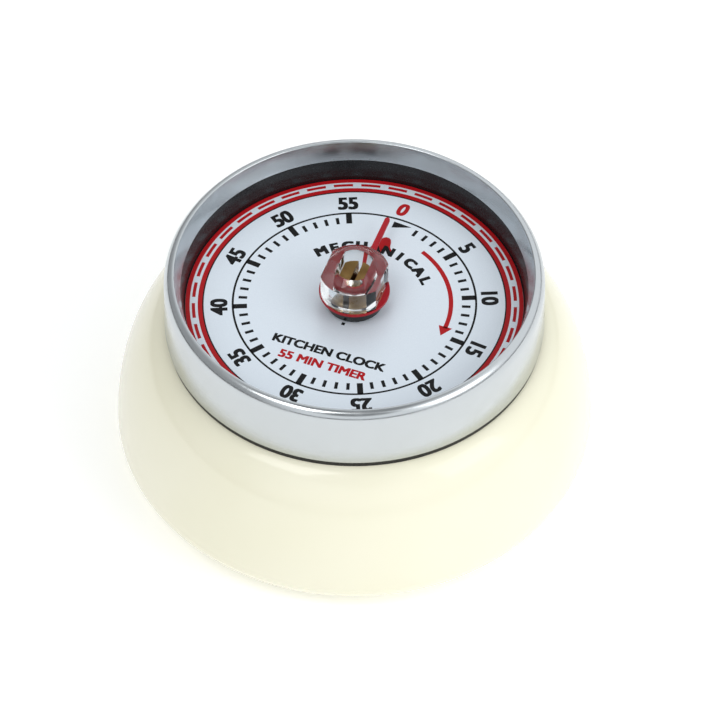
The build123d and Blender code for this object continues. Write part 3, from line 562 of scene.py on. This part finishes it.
def make_tube(outer, inner, low, high, round_edges):
    """Block with flats and a bore with flats, its rims bevelled, turned to the hand's rest."""
    shape = bmesh.new()
    loops = []
    for radius, half_flat in (outer, inner):
        single = outline_loop(radius, half_flat, low)
        mesh = bpy.data.meshes.new("loop")
        single.to_mesh(mesh)
        single.free()
        before = set(shape.edges)
        shape.from_mesh(mesh)
        bpy.data.meshes.remove(mesh)
        loops.append([edge for edge in shape.edges if edge not in before])
    bridged = bmesh.ops.bridge_loops(shape, edges=loops[0] + loops[1])
    raised = bmesh.ops.extrude_face_region(shape, geom=bridged["faces"], use_keep_orig=True)
    lifted = [item for item in raised["geom"] if isinstance(item, bmesh.types.BMVert)]
    bmesh.ops.translate(shape, verts=lifted, vec=(0, 0, high - low))
    bmesh.ops.recalc_face_normals(shape, faces=shape.faces)
    if round_edges:
        round_rims(shape, round_edges)
    bmesh.ops.rotate(shape, verts=shape.verts, cent=(0, 0, 0), matrix=Matrix.Rotation(
        math.radians(POINTER_REST), 3, "Z"))
    return shape


def round_rims(shape, width):
    """Rounds the sharp edges that lie flat."""
    rims = [edge for edge in shape.edges if len(edge.link_faces) == 2
            and abs(edge.verts[0].co.z - edge.verts[1].co.z) < 0.1 * MM
            and edge.calc_face_angle() > 0.6]
    bmesh.ops.bevel(shape, geom=rims, offset=width, segments=3, profile=0.5, affect="EDGES",
                    material=-1, clamp_overlap=True)


def make_knob():
    """Clear knob whose top slopes up to its bore, over a plain black hub."""
    bore = (2.92 * MM, 2.12 * MM)
    radius = 5.0 * MM
    crown = 1.1 * MM
    air = 0.02 * MM                # between the knob and the hand's disc
    knob = make_tube((radius, 4.2 * MM), bore, knob_low.z + air, knob_high.z, 0)
    for vert in knob.verts:
        if vert.co.z > knob_high.z - crown:
            outward = max(vert.co.xy.length - bore[0], 0) / (radius - bore[0])
            vert.co.z = knob_high.z - crown * outward
    round_rims(knob, 0.06 * MM)
    add_piece("acrylic_knob", knob, FINISHES["clear_acrylic"], "knob", ["clear_knob"],
              sharp_angle=25)
    hub = make_tube((hub_high.x, hub_high.x), bore, hub_low.z, hub_high.z, 0.1 * MM)
    add_piece("black_hub", hub, FINISHES["black_plastic"], "knob", ["pointer_hub"],
              sharp_angle=25)


# ---- studio ----
def make_floor():
    """White paper with a little light of its own, so that it stays plain."""
    shape = bmesh.new()
    bmesh.ops.create_grid(shape, x_segments=1, y_segments=1, size=3.0)
    mesh = bpy.data.meshes.new("studio_floor")
    shape.to_mesh(mesh)
    shape.free()
    material, tree = new_material("matt_white_paper")
    finish_material(tree, {"Base Color": colour("#FCFCFB"), "Roughness": 0.95,
                           "Emission Color": colour("#FFFFFF"), "Emission Strength": 0.2})
    mesh.materials.append(material)
    floor = bpy.data.objects.new("studio_floor", mesh)
    bpy.context.scene.collection.objects.link(floor)


def add_softbox(name, azimuth, elevation, distance, size, power):
    """Square soft light aimed at the dial."""
    light = bpy.data.lights.new(name, "AREA")
    light.shape = "SQUARE"
    light.size = size
    light.energy = power
    lamp = bpy.data.objects.new(name, light)
    target = Vector((0, 0, DIAL_TOP))
    away = Vector((math.cos(math.radians(elevation)) * math.cos(math.radians(azimuth)),
                   math.cos(math.radians(elevation)) * math.sin(math.radians(azimuth)),
                   math.sin(math.radians(elevation))))
    lamp.location = target + away * distance
    lamp.rotation_euler = (-away).to_track_quat("-Z", "Y").to_euler()
    bpy.context.scene.collection.objects.link(lamp)


CAMERA_AZIMUTH = 20.95
CAMERA_ELEVATION = 48.8
CAMERA_DISTANCE = 0.618
CAMERA_LENS = 214.3
DIAL_OFFSET = (-0.80 * MM, 8.36 * MM)   # of the dial's middle from the line of sight, right and up


def camera_axes():
    """Right, up and forward of the camera."""
    azimuth = math.radians(CAMERA_AZIMUTH)
    elevation = math.radians(CAMERA_ELEVATION)
    forward = Vector((-math.sin(azimuth) * math.cos(elevation), math.cos(azimuth) * math.cos(elevation),
                      -math.sin(elevation)))
    right = Vector((math.cos(azimuth), math.sin(azimuth), 0))
    return right, right.cross(forward), forward


def make_camera():
    """Long lens from the front, high above the dial."""
    right, up, forward = camera_axes()
    data = bpy.data.cameras.new("studio_camera")
    data.lens = CAMERA_LENS
    data.clip_start = 0.05
    data.clip_end = 20
    camera = bpy.data.objects.new("studio_camera", data)
    aim = Vector((0, 0, DIAL_TOP)) - right * DIAL_OFFSET[0] - up * DIAL_OFFSET[1]
    place = aim - forward * CAMERA_DISTANCE
    turn = Matrix((right, up, -forward)).transposed().to_4x4()
    camera.matrix_world = Matrix.Translation(place) @ turn
    bpy.context.scene.collection.objects.link(camera)
    bpy.context.scene.camera = camera


def make_world():
    """Pale surroundings, darker straight above, round the camera's place and behind the left side."""
    world = bpy.data.worlds.new("studio")
    world.use_nodes = True
    tree = world.node_tree
    tree.nodes.clear()
    _, _, forward = camera_axes()
    direction = add_node(tree, "ShaderNodeTexCoord")
    height = add_node(tree, "ShaderNodeSeparateXYZ", {"Vector": (direction, "Generated")})
    horizon = add_node(tree, "ShaderNodeMapRange", {
        "Value": (height, "Z"), "From Min": 0.02, "From Max": 0.2, "To Min": 0.12, "To Max": 1.0},
        interpolation_type="SMOOTHSTEP")
    facing = add_node(tree, "ShaderNodeVectorMath", {0: (direction, "Generated"), 1: -forward},
                      operation="DOT_PRODUCT")
    dimmed = add_node(tree, "ShaderNodeMapRange", {
        "Value": (facing, "Value"), "From Min": 0.93, "From Max": 0.99, "To Min": 1.12, "To Max": 0.30},
        interpolation_type="SMOOTHSTEP")
    aside = add_node(tree, "ShaderNodeVectorMath", {0: (direction, "Generated"), 1: polar(1, 185)},
                     operation="DOT_PRODUCT")
    shaded = add_node(tree, "ShaderNodeMapRange", {
        "Value": (aside, "Value"), "From Min": 0.1, "From Max": 0.7, "To Min": 1.0, "To Max": 0.42},
        interpolation_type="SMOOTHSTEP")
    overhead = add_node(tree, "ShaderNodeMath", {0: (dimmed, "Result"), 1: (horizon, "Result")},
                        operation="MULTIPLY")
    ceiling = add_node(tree, "ShaderNodeMapRange", {
        "Value": (height, "Z"), "From Min": 0.85, "From Max": 0.97, "To Min": 1.0, "To Max": 0.35},
        interpolation_type="SMOOTHSTEP")
    open_side = add_node(tree, "ShaderNodeMath", {0: (overhead, "Value"), 1: (shaded, "Result")},
                         operation="MULTIPLY")
    strength = add_node(tree, "ShaderNodeMath", {0: (open_side, "Value"), 1: (ceiling, "Result")},
                        operation="MULTIPLY")
    light = add_node(tree, "ShaderNodeBackground", {
        "Color": colour("#F4F7FA"), "Strength": (strength, "Value")})
    add_node(tree, "ShaderNodeOutputWorld", {"Surface": (light, "Background")})
    bpy.context.scene.world = world


def paint_cad_nodes():
    """Every CAD node takes the finish of its slot."""
    for part in record["subparts"]:
        mesh = nodes[part["node"]].data
        mesh.materials.clear()
        mesh.materials.append(FINISHES[part["material_slot"]])


paint_cad_nodes()
make_case()
make_bezel()
make_cup()
make_dial()
make_black_print()
make_red_print()
make_knob()
make_floor()
make_camera()
make_world()
add_softbox("key_light", -115, 62, 0.9, 0.4, 1.7)
add_softbox("side_light", -10, 35, 0.9, 0.5, 1.6)
bpy.context.scene.view_settings.view_transform = "Standard"
